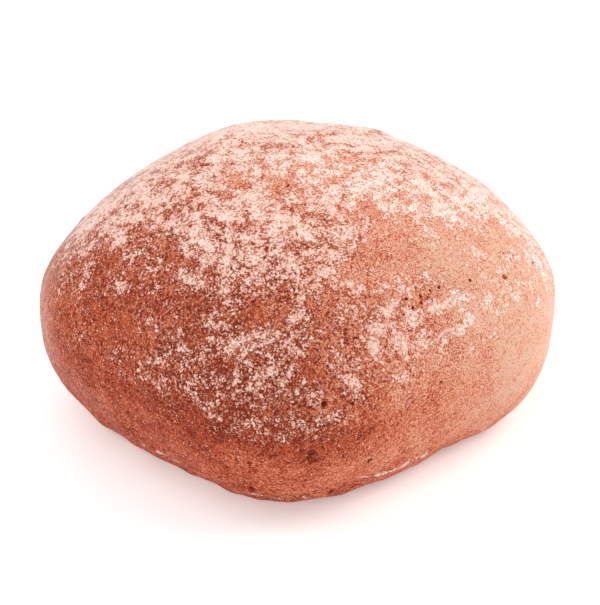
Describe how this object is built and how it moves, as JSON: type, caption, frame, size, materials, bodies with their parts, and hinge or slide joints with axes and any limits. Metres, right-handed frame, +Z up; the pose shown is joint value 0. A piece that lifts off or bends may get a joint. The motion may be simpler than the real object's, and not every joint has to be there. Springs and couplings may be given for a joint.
{
  "type": "rye bread roll",
  "caption": "Flour-dusted rye bread roll: a domed loaf with soft corners, a thin browned crust with small burst bubbles, and a flat base that it rests on.",
  "frame": {"origin": "middle of the flat base", "axes": "+Z up from the base to the crown; +X across the roll's wider diagonal; a soft corner points along -Y, which is the side that the picture shows"},
  "size_m": [0.1042, 0.1012, 0.0573],
  "materials": {
    "crust": "dry matte browned rye crust with fine bran specks",
    "flour": "loose dry pale flour, matte"
  },
  "bodies": {
    "root": {"roll": "crust"}
  },
  "joints": []
}
